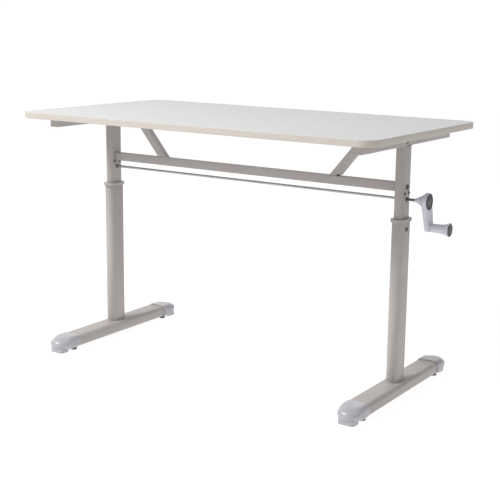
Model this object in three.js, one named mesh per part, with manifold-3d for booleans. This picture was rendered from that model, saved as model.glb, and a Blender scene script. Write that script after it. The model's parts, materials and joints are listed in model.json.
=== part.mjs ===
// Height adjustable standing desk with a hand crank.
// Millimetres, +Z up. The desk stands on z = 0 with its front edge towards -Y and its crank at +X.
// Lengths along X are laid out from the middle of the tabletop. The finished group is then moved,
// so that its origin lies on the floor under the middle of the whole desk, crank included.

import * as THREE from 'three';
import { mergeVertices } from 'three/addons/utils/BufferGeometryUtils.js';
import Module from 'manifold-3d';

// ---- driving dimensions --------------------------------------------------------------------

const SIDES = { left: -1, right: 1 };
const ENDS = { front: -1, rear: 1 };
const GAP = 0.3; // between pieces that rest on or fit in each other
const RUNNING = 0.2; // between pieces that slide or turn in each other
const ROUND = 14; // sides of a round piece that turns, and of what it turns in
const BOLT_SIDES = 10;
const PAST = 1; // how far a cutting tool runs on past the face it cuts

const TOP_WIDTH = 1200;
const TOP_DEPTH = 650;
const TOP_THICKNESS = 18;
const TOP_HEIGHT = 755;
const TOP_CORNER_RADIUS = 46;
const EDGE_BAND = 2;

const COLUMN_X = 520; // middle of each column from the middle of the top
const FRAME_Y = 9; // the columns, crossbar and drive shaft lie a little behind the middle
const WALL = 1.5; // of every steel tube
const OUTER_TUBE = { x: 35, y: 68, top: 500 };
const INNER_TUBE = { x: 29, y: 56, bottom: 95 };

const FOOT = { width: 67, height: 37, cornerRadius: 12, middle: 26, halfLength: 250 };
const FOOT_CAP = { skin: 2, seam: 215, tip: 292, cornerRadius: 34, noseRadius: 18.4 };
const TOE_PAD = { halfWidth: 25, from: 248, to: 285, cornerRadius: 10, top: -12 };
const LEVELLER = { x: 17, y: 222, radius: 10, height: 5.2, studRadius: 4, studTop: 27 };
const DISC_EDGE = { bottom: 1, side: 2, top: 3 }; // slopes of a leveller's disc

const COLLAR = { overhang: 4.3, lip: 9, sleeve: 40 };
const GLIDE = { height: 40, lift: 2 };
const COLLAR_SCREW = { drop: 21, headRadius: 6.2, head: 3, shankRadius: 2.5, shank: 2.6 };

const RAIL = { x: 30, z: 28.2, length: 528, cornerRadius: 2 };
const RAIL_SCREW = { y: 0, z: 721, headRadius: 4.7, head: 2.5, shankRadius: 2.5, shank: 6 };
const RAIL_CAP = { flange: 2, plug: 16 };

const CROSSBAR = { y: 20, z: 25.5, middle: 595.4, cornerRadius: 2 };
const CROSSBAR_BOLT = { headRadius: 7.5, head: 4.5, shankRadius: 4, reach: 52 };
const BRACE = { slope: 49.7, depth: 25, insideTop: 403, plate: 3, plateLength: 62 };
const INSIDE_CORNER = 0.5; // radius inside the rails, crossbar and braces

const SHAFT_Z = 562.5;
const SHAFT_START_X = -531;
const SHAFT_FLAT = 3.5; // from the axis to each flat of the hexagon
const SHAFT_HOLE = 7.2;

const GEAR = { teeth: 16, pitch: 10, tip: 11.5, root: 8.4, face: 3.5 };
const GEAR_HUB = { radius: 7.5, sunk: 0.5 }; // sunk: how far the hub runs into the teeth
const TOOTH = { tip: 0.095, root: 0.31 }; // half widths, in teeth
const HOUSING = { top: 22.5, roof: 12.5, floor: 15, bottom: 26, halfGap: 12 };
const HOUSING_SCREW = { y: 12, z: 16, headRadius: 4.8, head: 2.2, shankRadius: 1.7, shank: 9 };
const SCREW = { radius: 7, journal: 5, spigot: 3.5, bottom: 140, flange: 4, flangeRadius: 10 };
const SCREW_LEAD_IN = { radius: 5, height: 3 };
const NUT_TUBE = { radius: 11, bore: 9.5, top: 470, flange: 3 };
const NUT = { height: 20, spigot: 15, spigotRadius: 9.2 };
const BUSH = { flangeRadius: 8.5, flange: 1.3, proud: 0.4 };

const CRANK = { reach: 70, lean: 0.136, thickness: 14, endHalfWidth: 17, endBelow: 10, corner: 5 };
const CRANK_SOCKET_X = 593.4; // end of the hexagonal socket, in the hub
const HUB_FACE_X = 602;
const HUB_STEPS = [
  { from: 561, radius: 6.5 },
  { from: 572, radius: 11.7 },
  { from: 582, radius: 17 },
  { from: 590.5, radius: 23.5 },
];
const HUB_CAP = { radius: 21.8, thickness: 2.6, sunk: 0.3 };
const HUB_SIDES = 20;
const CRANK_BOSS = { radius: 11.5, face: 611.4 };
const GRIP = { start: 611.7, end: 665, bore: 4.35, rimRadius: 19.7, capRadius: 17, capThickness: 3 };
const GRIP_FLARE = [[12, 0], [12.3, 12], [12.8, 26], [14, 36], [16.5, 43.5], [19.2, 48.5]];
const GRIP_PIN = { radius: 4, headRadius: 6.9, head: 4, start: 599, headEnd: 659 };

const TOP_UNDERSIDE = TOP_HEIGHT - TOP_THICKNESS;
const RAIL_BOTTOM = TOP_UNDERSIDE - RUNNING - RAIL.z;
const FOOT_TOP = FOOT.middle + FOOT.height / 2;
const FLANGE_TOP = SHAFT_Z - HOUSING.bottom - RUNNING;
const HALF_TUBE = INNER_TUBE.x / 2;
const ORIGIN_X = (GRIP.end - TOP_WIDTH / 2) / 2;

// ---- materials -----------------------------------------------------------------------------

const finish = (color, roughness, metalness) =>
  new THREE.MeshStandardMaterial({ color, roughness, metalness });
const FINISHES = {
  laminate: () => finish(0xf0f0ef, 0.45, 0),
  edging: () => finish(0xd6d2cb, 0.5, 0),
  powderCoat: () => finish(0xb3aea8, 0.5, 0.1),
  greyPlastic: () => finish(0xa9a6ae, 0.3, 0),
  trimPlastic: () => finish(0xaeaaa4, 0.45, 0),
  darkPlastic: () => finish(0x56545c, 0.4, 0),
  innerPlastic: () => finish(0x6f6f72, 0.5, 0),
  steel: () => finish(0xb9b9bb, 0.3, 1),
  brass: () => finish(0xb08d4a, 0.35, 1),
  rubber: () => finish(0x1d1d1f, 0.8, 0),
};

// ---- shapes and solids ---------------------------------------------------------------------

const wasm = await Module();
wasm.setup();

const X = new THREE.Vector3(1, 0, 0);
const Y = new THREE.Vector3(0, 1, 0);
const Z = new THREE.Vector3(0, 0, 1);
// an outline's x and y, and the way it is extruded, turned onto the desk's axes
const TURN = {
  x: new THREE.Matrix4().makeBasis(Y, Z, X),
  y: new THREE.Matrix4().makeBasis(X.clone().negate(), Z, Y),
  z: new THREE.Matrix4(),
};

function toSolid(geometry) {
  const plain = geometry.clone();
  plain.deleteAttribute('normal');
  plain.deleteAttribute('uv');
  const merged = mergeVertices(plain, 1e-3);
  const corners = [];
  for (let i = 0; i < merged.index.count; i += 3) {
    const [a, b, c] = [0, 1, 2].map((k) => merged.index.getX(i + k));
    if (a !== b && b !== c && c !== a) corners.push(a, b, c);
  }
  return new wasm.Manifold(new wasm.Mesh({
    numProp: 3,
    vertProperties: new Float32Array(merged.attributes.position.array),
    triVerts: new Uint32Array(corners),
  }));
}

function toGeometry(body) {
  const mesh = body.getMesh();
  const geometry = new THREE.BufferGeometry();
  geometry.setAttribute('position', new THREE.BufferAttribute(mesh.vertProperties, 3));
  geometry.setIndex(new THREE.BufferAttribute(mesh.triVerts, 1));
  geometry.computeVertexNormals();
  return geometry;
}

const cut = (base, ...tools) =>
  toGeometry(tools.reduce((body, tool) => body.subtract(toSolid(tool)), toSolid(base)));
const join = (base, ...others) =>
  toGeometry(others.reduce((body, other) => body.add(toSolid(other)), toSolid(base)));
const common = (base, ...others) =>
  toGeometry(others.reduce((body, other) => body.intersect(toSolid(other)), toSolid(base)));

function rectangle(width, height, radius = 0) {
  const [w, h] = [width / 2, height / 2];
  const shape = new THREE.Shape();
  if (radius === 0) {
    shape.moveTo(-w, -h).lineTo(w, -h).lineTo(w, h).lineTo(-w, h).closePath();
    return shape;
  }
  shape.moveTo(-w + radius, -h).lineTo(w - radius, -h);
  shape.absarc(w - radius, -h + radius, radius, -Math.PI / 2, 0);
  shape.lineTo(w, h - radius);
  shape.absarc(w - radius, h - radius, radius, 0, Math.PI / 2);
  shape.lineTo(-w + radius, h);
  shape.absarc(-w + radius, h - radius, radius, Math.PI / 2, Math.PI);
  shape.lineTo(-w, -h + radius);
  shape.absarc(-w + radius, -h + radius, radius, Math.PI, 1.5 * Math.PI);
  return shape;
}

// a flat oval: a rectangle whose shorter sides are half circles
const flatOval = (width, height) => rectangle(width, height, Math.min(width, height) / 2 - 0.01);

function hexagon(flat) {
  const corner = flat / Math.cos(Math.PI / 6);
  const points = [0, 1, 2, 3, 4, 5].map((k) => {
    const angle = (k + 0.5) * Math.PI / 3;
    return new THREE.Vector2(corner * Math.cos(angle), corner * Math.sin(angle));
  });
  return new THREE.Shape(points);
}

const hollow = (outer, inner) => {
  outer.holes.push(inner);
  return outer;
};

// an outline run from one place to another along x, y or z
function run(shape, axis, from, to, steps = 3) {
  const options = { depth: to - from, bevelEnabled: false, curveSegments: steps };
  const geometry = new THREE.ExtrudeGeometry(shape, options);
  return geometry.translate(0, 0, from).applyMatrix4(TURN[axis]);
}

// a profile of [radius, place] corners turned about x or z
function turned(profile, axis, sides = ROUND) {
  const points = profile.map(([radius, place]) => new THREE.Vector2(radius, place));
  const geometry = new THREE.LatheGeometry(points, sides);
  return axis === 'z' ? geometry.rotateX(Math.PI / 2) : geometry.rotateZ(-Math.PI / 2);
}

const rod = (radius, axis, from, to, sides = BOLT_SIDES) =>
  turned([[0, from], [radius, from], [radius, to], [0, to]], axis, sides);

// a washer, bush or sleeve whose bore runs right through
const ring = (outer, bore, axis, from, to, sides = ROUND) =>
  turned([[bore, from], [outer, from], [outer, to], [bore, to], [bore, from]], axis, sides);

const screwShape = (part, axis) => turned([
  [0, -part.shank],
  [part.shankRadius, -part.shank],
  [part.shankRadius, 0],
  [part.headRadius, 0],
  [part.headRadius, part.head * 0.6],
  [part.headRadius * 0.75, part.head],
  [0, part.head],
], axis, BOLT_SIDES);

// ---- assembly ------------------------------------------------------------------------------

const desk = new THREE.Group();
desk.position.x = -ORIGIN_X;

function add(name, geometry, finishName, x = 0, y = 0, z = 0) {
  const mesh = new THREE.Mesh(geometry, FINISHES[finishName]());
  mesh.name = name;
  mesh.position.set(x, y, z);
  desk.add(mesh);
}

// ---- tabletop ------------------------------------------------------------------------------

function addTop() {
  const inset = 2 * (EDGE_BAND + GAP);
  const boardRadius = TOP_CORNER_RADIUS - EDGE_BAND - GAP;
  const board = rectangle(TOP_WIDTH - inset, TOP_DEPTH - inset, boardRadius);
  const opening = rectangle(
    TOP_WIDTH - 2 * EDGE_BAND,
    TOP_DEPTH - 2 * EDGE_BAND,
    TOP_CORNER_RADIUS - EDGE_BAND,
  );
  const band = hollow(rectangle(TOP_WIDTH, TOP_DEPTH, TOP_CORNER_RADIUS), opening);
  add('tabletop', run(board, 'z', TOP_UNDERSIDE, TOP_HEIGHT, 4), 'laminate');
  add('edge_band', run(band, 'z', TOP_UNDERSIDE, TOP_HEIGHT, 4), 'edging');
}

// ---- feet ----------------------------------------------------------------------------------

// the outline across a foot, grown by some width all round
const footSection = (grow) =>
  rectangle(FOOT.width + 2 * grow, FOOT.height + 2 * grow, FOOT.cornerRadius + grow);

function footTube() {
  const section = hollow(footSection(0), footSection(-WALL));
  const tube = run(section, 'y', -FOOT.halfLength, FOOT.halfLength);
  const holes = [-LEVELLER.y, LEVELLER.y].map((y) =>
    rod(LEVELLER.studRadius + GAP, 'z', -FOOT.height, 0).translate(LEVELLER.x, y, 0));
  return cut(tube, ...holes);
}

// a domed cap that slips over the +Y end of a foot tube and stands on a toe pad
function footCap(stemX) {
  const width = FOOT.width + 2 * FOOT_CAP.skin;
  const height = FOOT.height + 2 * FOOT_CAP.skin;
  const length = 2 * FOOT_CAP.tip;
  const body = run(footSection(FOOT_CAP.skin), 'y', FOOT_CAP.seam, FOOT_CAP.tip);
  const plan = run(rectangle(width, length, FOOT_CAP.cornerRadius), 'z', -height, height);
  const side = run(rectangle(length, height, FOOT_CAP.noseRadius), 'x', -width, width);
  const pad = run(
    rectangle(2 * TOE_PAD.halfWidth, TOE_PAD.to - TOE_PAD.from, TOE_PAD.cornerRadius),
    'z',
    -FOOT.middle,
    TOE_PAD.top,
  ).translate(0, (TOE_PAD.from + TOE_PAD.to) / 2, 0);
  const bore = run(footSection(GAP), 'y', FOOT_CAP.seam - PAST, FOOT.halfLength + GAP);
  const stem = rod(LEVELLER.studRadius + GAP, 'z', -FOOT.height, 0)
    .translate(stemX, LEVELLER.y, 0);
  return cut(join(common(body, plan, side), pad), bore, stem);
}

// its origin is on the floor, in the middle of the disc
const leveller = () => turned([
  [0, 0],
  [LEVELLER.radius - DISC_EDGE.bottom, 0],
  [LEVELLER.radius, DISC_EDGE.bottom],
  [LEVELLER.radius, LEVELLER.height - DISC_EDGE.side],
  [LEVELLER.radius - DISC_EDGE.top, LEVELLER.height],
  [LEVELLER.studRadius, LEVELLER.height],
  [LEVELLER.studRadius, LEVELLER.studTop],
  [0, LEVELLER.studTop],
], 'z');

function addFoot(side, x) {
  const tube = footTube();
  add(`foot_tube_${side}`, tube, 'powderCoat', x, FRAME_Y, FOOT.middle);
  for (const [end, direction] of Object.entries(ENDS)) {
    const cap = footCap(direction * LEVELLER.x);
    if (direction < 0) cap.rotateZ(Math.PI);
    add(`foot_cap_${side}_${end}`, cap, 'greyPlastic', x, FRAME_Y, FOOT.middle);
    const levellerY = FRAME_Y + direction * LEVELLER.y;
    add(`leveller_${side}_${end}`, leveller(), 'rubber', x + LEVELLER.x, levellerY);
  }
}

// ---- fixed half of a column ----------------------------------------------------------------

function collarScrewHole(direction) {
  const hole = rod(COLLAR_SCREW.shankRadius + GAP, 'x', OUTER_TUBE.x / 4, OUTER_TUBE.x);
  if (direction < 0) hole.rotateZ(Math.PI);
  return hole.translate(0, 0, OUTER_TUBE.top - COLLAR_SCREW.drop);
}

function collar(direction) {
  const lipX = OUTER_TUBE.x + 2 * COLLAR.overhang;
  const lipY = OUTER_TUBE.y + 2 * COLLAR.overhang;
  const lip = run(flatOval(lipX, lipY), 'z', OUTER_TUBE.top, OUTER_TUBE.top + COLLAR.lip);
  const inset = 2 * (WALL + RUNNING);
  const sleeve = run(
    flatOval(OUTER_TUBE.x - inset, OUTER_TUBE.y - inset),
    'z',
    OUTER_TUBE.top - COLLAR.sleeve,
    OUTER_TUBE.top + COLLAR.lip / 2,
  );
  const bore = run(
    flatOval(INNER_TUBE.x + 2 * RUNNING, INNER_TUBE.y + 2 * RUNNING),
    'z',
    OUTER_TUBE.top - COLLAR.sleeve - PAST,
    OUTER_TUBE.top + COLLAR.lip + PAST,
  );
  return cut(join(lip, sleeve), bore, collarScrewHole(direction));
}

function lowerTube(direction) {
  const section = hollow(
    flatOval(OUTER_TUBE.x, OUTER_TUBE.y),
    flatOval(OUTER_TUBE.x - 2 * WALL, OUTER_TUBE.y - 2 * WALL),
  );
  const tube = run(section, 'z', FOOT_TOP + GAP, OUTER_TUBE.top - GAP);
  return cut(tube, collarScrewHole(direction));
}

const nutFlange = () => {
  const inset = 2 * (WALL + GAP);
  const bore = new THREE.Path().absarc(0, 0, NUT_TUBE.bore + WALL / 2, 0, 2 * Math.PI, true);
  return hollow(flatOval(OUTER_TUBE.x - inset, OUTER_TUBE.y - inset), bore);
};

const nut = () => turned([
  [SCREW.radius + RUNNING, NUT_TUBE.top - NUT.spigot],
  [NUT.spigotRadius, NUT_TUBE.top - NUT.spigot],
  [NUT.spigotRadius, NUT_TUBE.top + GAP],
  [NUT_TUBE.radius, NUT_TUBE.top + GAP],
  [NUT_TUBE.radius, NUT_TUBE.top + NUT.height],
  [SCREW.radius + RUNNING, NUT_TUBE.top + NUT.height],
  [SCREW.radius + RUNNING, NUT_TUBE.top - NUT.spigot],
], 'z');

function addFixedColumn(side, direction) {
  const x = direction * COLUMN_X;
  add(`lower_tube_${side}`, lowerTube(direction), 'powderCoat', x, FRAME_Y);
  add(`collar_${side}`, collar(direction), 'trimPlastic', x, FRAME_Y);
  const nutTube = join(
    ring(NUT_TUBE.radius, NUT_TUBE.bore, 'z', FOOT_TOP + GAP, NUT_TUBE.top),
    run(nutFlange(), 'z', FOOT_TOP + GAP, FOOT_TOP + GAP + NUT_TUBE.flange),
  );
  add(`nut_tube_${side}`, nutTube, 'steel', x, FRAME_Y);
  add(`lead_nut_${side}`, nut(), 'brass', x, FRAME_Y);
  const screw = screwShape(COLLAR_SCREW, 'x');
  screw.translate(OUTER_TUBE.x / 2, 0, 0);
  if (direction < 0) screw.rotateZ(Math.PI);
  add(`collar_screw_${side}`, screw, 'steel', x, FRAME_Y, OUTER_TUBE.top - COLLAR_SCREW.drop);
}

// ---- lifting half of a column --------------------------------------------------------------

function upperTube() {
  const section = hollow(
    flatOval(INNER_TUBE.x, INNER_TUBE.y),
    flatOval(INNER_TUBE.x - 2 * WALL, INNER_TUBE.y - 2 * WALL),
  );
  const tube = run(section, 'z', INNER_TUBE.bottom, RAIL_BOTTOM);
  const through = INNER_TUBE.x;
  const shaftHole = rod(SHAFT_HOLE, 'x', -through, through, ROUND).translate(0, 0, SHAFT_Z);
  const boltHole = rod(CROSSBAR_BOLT.shankRadius + GAP, 'x', -through, through)
    .translate(0, 0, CROSSBAR.middle);
  const screwHoles = [-HOUSING_SCREW.y, HOUSING_SCREW.y].map((y) =>
    rod(HOUSING_SCREW.shankRadius + GAP, 'x', 0, through)
      .translate(0, y, SHAFT_Z + HOUSING_SCREW.z));
  return cut(tube, shaftHole, boltHole, ...screwHoles);
}

function glide() {
  const inset = 2 * (WALL + RUNNING);
  const outer = flatOval(OUTER_TUBE.x - inset, OUTER_TUBE.y - inset);
  const inner = flatOval(INNER_TUBE.x + GAP, INNER_TUBE.y + GAP);
  const bottom = INNER_TUBE.bottom + GLIDE.lift;
  return run(hollow(outer, inner), 'z', bottom, bottom + GLIDE.height);
}

// the block that carries the two bevel gears, with an open window round them
function gearHousing() {
  const inset = 2 * (WALL + GAP);
  const block = run(
    flatOval(INNER_TUBE.x - inset, INNER_TUBE.y - inset),
    'z',
    SHAFT_Z - HOUSING.bottom,
    SHAFT_Z + HOUSING.top,
  );
  const window = run(
    rectangle(2 * HOUSING.halfGap, HOUSING.floor + HOUSING.roof),
    'x',
    -INNER_TUBE.x,
    INNER_TUBE.x,
  ).translate(0, 0, SHAFT_Z + (HOUSING.roof - HOUSING.floor) / 2);
  const boreFrom = SHAFT_Z - HOUSING.bottom - PAST;
  const bore = rod(SCREW.journal + RUNNING, 'z', boreFrom, SHAFT_Z, ROUND);
  const screwHoles = [-HOUSING_SCREW.y, HOUSING_SCREW.y].map((y) =>
    rod(HOUSING_SCREW.shankRadius + GAP, 'x', HALF_TUBE - HOUSING_SCREW.shank - GAP, INNER_TUBE.x)
      .translate(0, y, SHAFT_Z + HOUSING_SCREW.z));
  return cut(block, window, bore, ...screwHoles);
}

function addLiftingColumn(side, direction) {
  const x = direction * COLUMN_X;
  add(`upper_tube_${side}`, upperTube(), 'powderCoat', x, FRAME_Y);
  add(`glide_${side}`, glide(), 'innerPlastic', x, FRAME_Y);
  add(`gear_housing_${side}`, gearHousing(), 'innerPlastic', x, FRAME_Y);
  const seat = HALF_TUBE - WALL - GAP;
  const bush = turned([
    [SCREW.journal + RUNNING, seat - BUSH.flange],
    [BUSH.flangeRadius, seat - BUSH.flange],
    [BUSH.flangeRadius, seat],
    [SHAFT_HOLE - GAP, seat],
    [SHAFT_HOLE - GAP, HALF_TUBE + BUSH.proud],
    [SCREW.journal + RUNNING, HALF_TUBE + BUSH.proud],
    [SCREW.journal + RUNNING, seat - BUSH.flange],
  ], 'x');
  add(`shaft_bush_${side}`, bush, 'darkPlastic', x, FRAME_Y, SHAFT_Z);
  for (const [end, sign] of Object.entries(ENDS)) {
    const screw = screwShape(HOUSING_SCREW, 'x').translate(HALF_TUBE, 0, 0);
    const screwY = FRAME_Y + sign * HOUSING_SCREW.y;
    add(`housing_screw_${side}_${end}`, screw, 'steel', x, screwY, SHAFT_Z + HOUSING_SCREW.z);
  }
}

// ---- rails, crossbar and braces ------------------------------------------------------------

function addRail(side, x) {
  const section = hollow(
    rectangle(RAIL.x, RAIL.z, RAIL.cornerRadius),
    rectangle(RAIL.x - 2 * WALL, RAIL.z - 2 * WALL, INSIDE_CORNER),
  );
  const [from, to] = [-RAIL.length / 2, RAIL.length / 2];
  const z = RAIL_BOTTOM + RAIL.z / 2;
  const hole = rod(RAIL_SCREW.shankRadius + GAP, 'x', 0, RAIL.x);
  const screw = screwShape(RAIL_SCREW, 'x').translate(RAIL.x / 2, 0, 0);
  if (x < 0) {
    hole.rotateZ(Math.PI);
    screw.rotateZ(Math.PI);
  }
  hole.translate(0, RAIL_SCREW.y - FRAME_Y, RAIL_SCREW.z - z);
  const rail = cut(run(section, 'y', from, to, 1), hole);
  add(`side_rail_${side}`, rail, 'powderCoat', x, FRAME_Y, z);
  add(`rail_screw_${side}`, screw, 'steel', x, RAIL_SCREW.y, RAIL_SCREW.z);
  for (const [end, direction] of Object.entries(ENDS)) {
    const face = rectangle(RAIL.x, RAIL.z, RAIL.cornerRadius);
    const flange = run(face, 'y', to + GAP, to + RAIL_CAP.flange, 1);
    const inset = 2 * (WALL + GAP);
    const plug = run(
      rectangle(RAIL.x - inset, RAIL.z - inset),
      'y',
      to - RAIL_CAP.plug,
      to + RAIL_CAP.flange / 2,
    );
    const cap = join(flange, plug);
    if (direction < 0) cap.rotateZ(Math.PI);
    add(`rail_cap_${side}_${end}`, cap, 'trimPlastic', x, FRAME_Y, z);
  }
}

const barSection = (depth) => hollow(
  rectangle(CROSSBAR.y, depth, CROSSBAR.cornerRadius),
  rectangle(CROSSBAR.y - 2 * WALL, depth - 2 * WALL, INSIDE_CORNER),
);

function addCrossbar() {
  const half = COLUMN_X - HALF_TUBE - GAP / 2;
  const tube = run(barSection(CROSSBAR.z), 'x', -half, half, 1);
  const plates = [-half, half - 2 * WALL].map((from) =>
    run(rectangle(CROSSBAR.y - WALL, CROSSBAR.z - WALL), 'x', from, from + 2 * WALL));
  const hole = rod(CROSSBAR_BOLT.shankRadius + GAP, 'x', -COLUMN_X, COLUMN_X);
  const bar = cut(join(tube, ...plates), hole);
  add('crossbar', bar, 'powderCoat', 0, FRAME_Y, CROSSBAR.middle);
  for (const [side, direction] of Object.entries(SIDES)) {
    const bolt = screwShape({ ...CROSSBAR_BOLT, shank: CROSSBAR_BOLT.reach }, 'x');
    bolt.translate(HALF_TUBE, 0, 0);
    if (direction < 0) bolt.rotateZ(Math.PI);
    const x = direction * COLUMN_X;
    add(`crossbar_bolt_${side}`, bolt, 'steel', x, FRAME_Y, CROSSBAR.middle);
  }
}

// a slanted bar from the crossbar up and out to a plate under the top, cut level at both ends
function addBrace(side, direction) {
  const angle = THREE.MathUtils.degToRad(BRACE.slope);
  const bottom = CROSSBAR.middle + CROSSBAR.z / 2 + GAP;
  const insideEdge = BRACE.depth / 2 / Math.sin(angle);
  const bar = run(barSection(BRACE.depth), 'x', -BRACE.insideTop, BRACE.insideTop, 1);
  bar.rotateY(-angle);
  const plateMiddle = BRACE.insideTop + insideEdge;
  bar.translate(plateMiddle, 0, TOP_UNDERSIDE);
  const around = rectangle(COLUMN_X, 2 * CROSSBAR.y);
  const keep = run(around, 'z', bottom, TOP_UNDERSIDE - BRACE.plate / 2)
    .translate(plateMiddle, 0, 0);
  const plate = run(
    rectangle(BRACE.plateLength, CROSSBAR.y, CROSSBAR.cornerRadius),
    'z',
    TOP_UNDERSIDE - BRACE.plate,
    TOP_UNDERSIDE - RUNNING,
    1,
  ).translate(plateMiddle, 0, 0);
  const brace = join(common(bar, keep), plate);
  if (direction < 0) brace.rotateZ(Math.PI);
  add(`brace_${side}`, brace, 'powderCoat', 0, FRAME_Y);
}

// ---- gears and lead screws -----------------------------------------------------------------

// A bevel gear on z whose teeth run in to a point at z = 0 from the large end below it.
// turn is in teeth: half a tooth sets it in mesh with a gear that has none.
function bevelGear(hubRadius, hubLength, turn) {
  const pitch = 2 * Math.PI / GEAR.teeth;
  const corners = [
    [-TOOTH.root, GEAR.root],
    [-TOOTH.tip, GEAR.tip],
    [TOOTH.tip, GEAR.tip],
    [TOOTH.root, GEAR.root],
  ];
  const points = [];
  for (let tooth = 0; tooth < GEAR.teeth; tooth++) {
    for (const [place, radius] of corners) {
      const angle = (tooth + turn + place) * pitch;
      points.push(new THREE.Vector2(radius * Math.cos(angle), radius * Math.sin(angle)));
    }
  }
  const teeth = run(new THREE.Shape(points), 'z', -GEAR.pitch, GEAR.face - GEAR.pitch);
  const places = teeth.attributes.position;
  for (let i = 0; i < places.count; i++) {
    const shrink = -places.getZ(i) / GEAR.pitch;
    places.setXY(i, places.getX(i) * shrink, places.getY(i) * shrink);
  }
  const hub = rod(hubRadius, 'z', -GEAR.pitch - hubLength, GEAR_HUB.sunk - GEAR.pitch);
  return join(teeth, hub);
}

function leadScrew() {
  const spigotTop = SHAFT_Z - GEAR.pitch + GEAR.face - PAST;
  return turned([
    [0, SCREW.bottom],
    [SCREW_LEAD_IN.radius, SCREW.bottom],
    [SCREW.radius, SCREW.bottom + SCREW_LEAD_IN.height],
    [SCREW.radius, FLANGE_TOP - SCREW.flange],
    [SCREW.flangeRadius, FLANGE_TOP - SCREW.flange],
    [SCREW.flangeRadius, FLANGE_TOP],
    [SCREW.journal, FLANGE_TOP],
    [SCREW.journal, SHAFT_Z - HOUSING.floor],
    [SCREW.spigot, SHAFT_Z - HOUSING.floor],
    [SCREW.spigot, spigotTop],
    [0, spigotTop],
  ], 'z');
}

function addScrew(side, x) {
  add(`lead_screw_${side}`, leadScrew(), 'steel', x, FRAME_Y);
  const hubLength = HOUSING.floor - GEAR.pitch - GAP;
  const bore = rod(SCREW.spigot + GAP, 'z', -SHAFT_Z, 0, ROUND);
  const gear = cut(bevelGear(GEAR_HUB.radius, hubLength, 0), bore);
  add(`driven_gear_${side}`, gear, 'steel', x, FRAME_Y, SHAFT_Z);
}

// ---- drive shaft and crank -----------------------------------------------------------------

function driveGear() {
  // the hub is the journal that turns in the bush in the tube's wall
  const hubLength = HALF_TUBE + 2 * BUSH.proud - GEAR.pitch;
  const bore = run(hexagon(SHAFT_FLAT + GAP / 2), 'x', 0, SHAFT_Z);
  return cut(bevelGear(SCREW.journal, hubLength, 0.5).rotateY(-Math.PI / 2), bore);
}

function crankArm() {
  const { reach, lean, thickness, endHalfWidth, endBelow, corner } = CRANK;
  const hubRadius = HUB_STEPS.at(-1).radius;
  const outline = new THREE.Shape();
  const end = reach + endBelow;
  outline.absarc(0, 0, hubRadius, -0.1, Math.PI + 0.1);
  outline.lineTo(-endHalfWidth, corner - end);
  outline.quadraticCurveTo(-endHalfWidth, -end, corner - endHalfWidth, -end);
  outline.lineTo(endHalfWidth - corner, -end);
  outline.quadraticCurveTo(endHalfWidth, -end, endHalfWidth, corner - end);
  const arm = run(outline, 'x', HUB_FACE_X - thickness, HUB_FACE_X, 6);
  const places = arm.attributes.position;
  for (let i = 0; i < places.count; i++) {
    const below = Math.max(0, -places.getZ(i) - 0.5 * hubRadius);
    places.setX(i, places.getX(i) + lean * below);
  }
  const profile = [[0, HUB_STEPS[0].from]];
  HUB_STEPS.forEach((step, k) => {
    const next = HUB_STEPS[k + 1];
    profile.push([step.radius, step.from], [step.radius, next ? next.from : HUB_FACE_X]);
  });
  profile.push([0, HUB_FACE_X]);
  const recessFloor = HUB_FACE_X - HUB_CAP.thickness - GAP;
  const recess = rod(HUB_CAP.radius + GAP, 'x', recessFloor, GRIP.end, HUB_SIDES);
  const socket = run(hexagon(SHAFT_FLAT + GAP), 'x', COLUMN_X, CRANK_SOCKET_X);
  const pinHole = rod(GRIP_PIN.radius + GAP, 'x', GRIP_PIN.start - GAP, GRIP.end)
    .translate(0, 0, -reach);
  const boss = rod(CRANK_BOSS.radius, 'x', HUB_FACE_X, CRANK_BOSS.face).translate(0, 0, -reach);
  return cut(join(arm, turned(profile, 'x', HUB_SIDES), boss), recess, socket, pinHole);
}

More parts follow.
